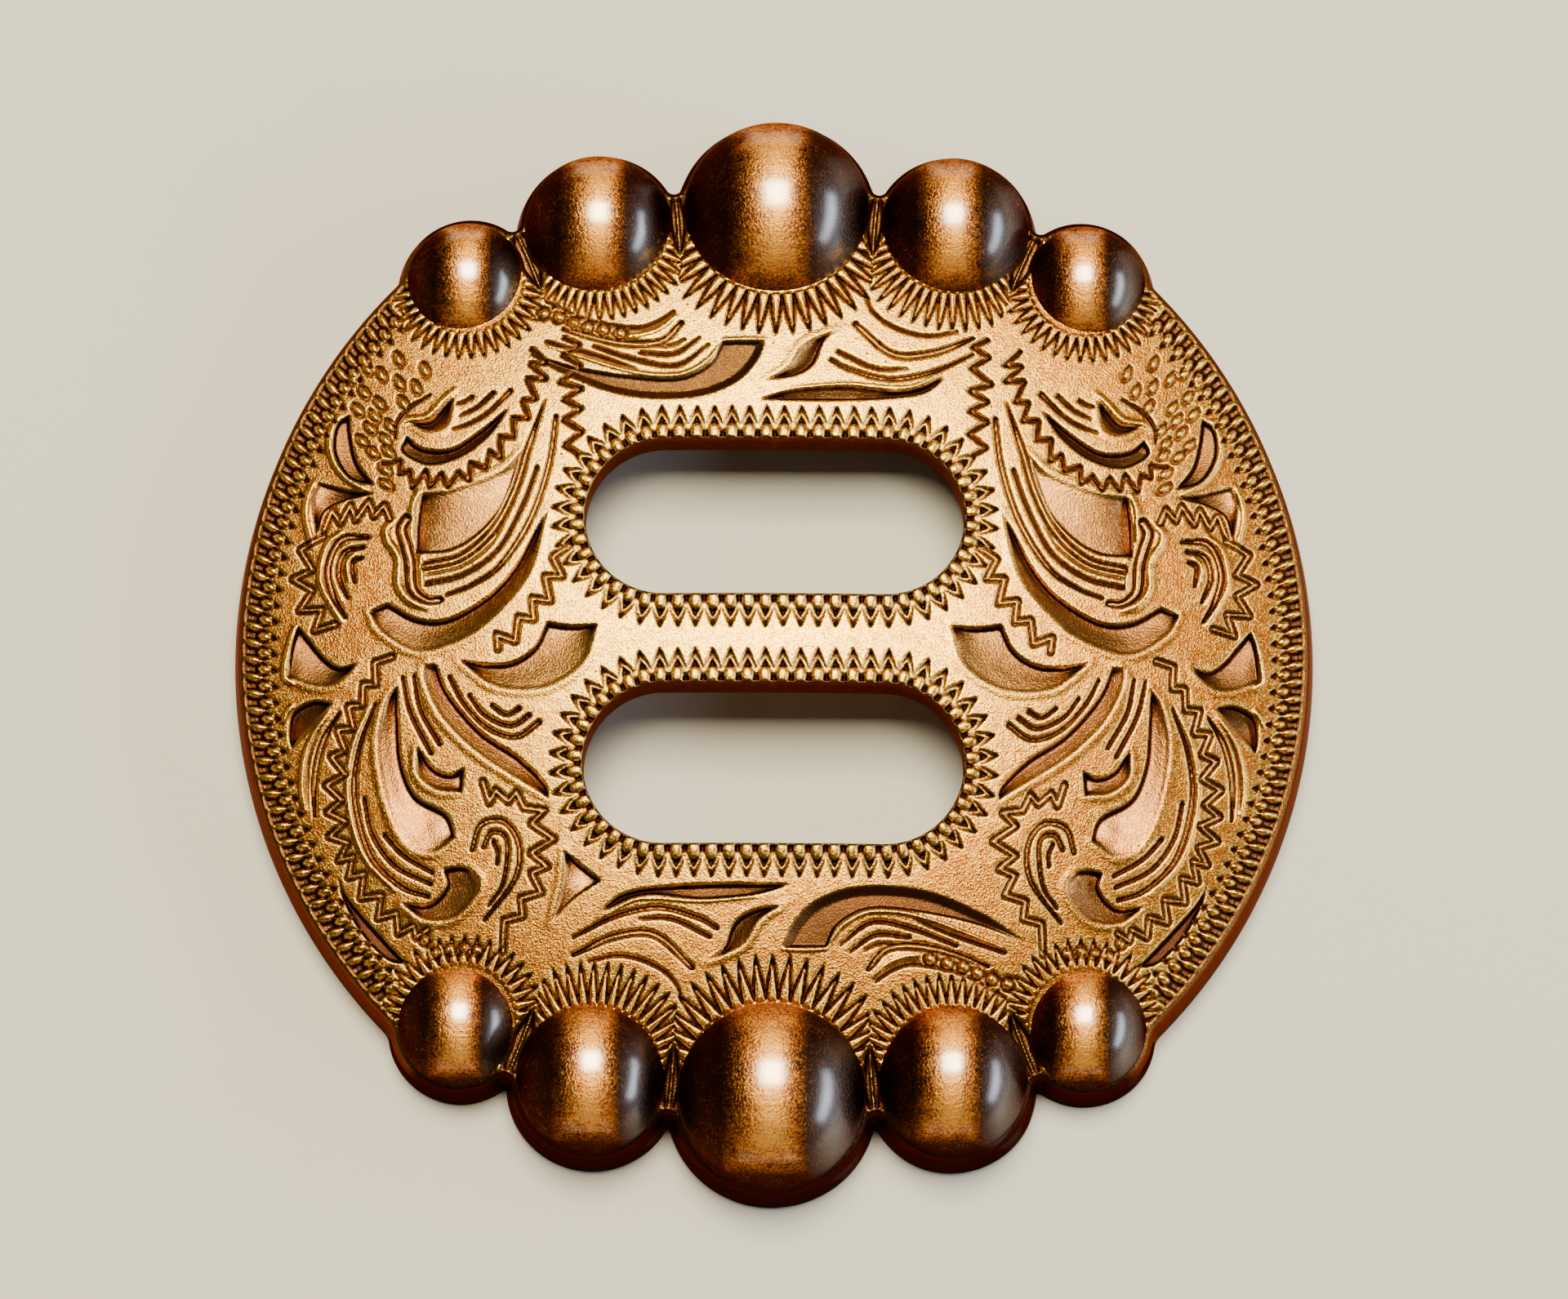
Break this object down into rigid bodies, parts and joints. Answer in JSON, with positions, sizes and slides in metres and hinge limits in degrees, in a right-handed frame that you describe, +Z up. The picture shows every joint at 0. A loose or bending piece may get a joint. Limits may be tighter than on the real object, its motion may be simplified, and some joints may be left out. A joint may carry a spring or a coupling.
{
  "type": "slotted concho",
  "caption": "Round domed metal concho with a scroll-engraved face, berry beads along two edges and two parallel slots for a strap.",
  "frame": {"origin": "middle of the disc, on the surface that its back rests on", "axes": "+Z up out of the domed face, +X along the two slots, +Y across the slots towards one row of berries"},
  "size_m": [0.038, 0.0388, 0.0052],
  "materials": {
    "antique_copper": "antiqued copper plate, brushed on the high parts and dark in the engraving"
  },
  "bodies": {
    "root": {"concho": "antique_copper"}
  },
  "joints": []
}
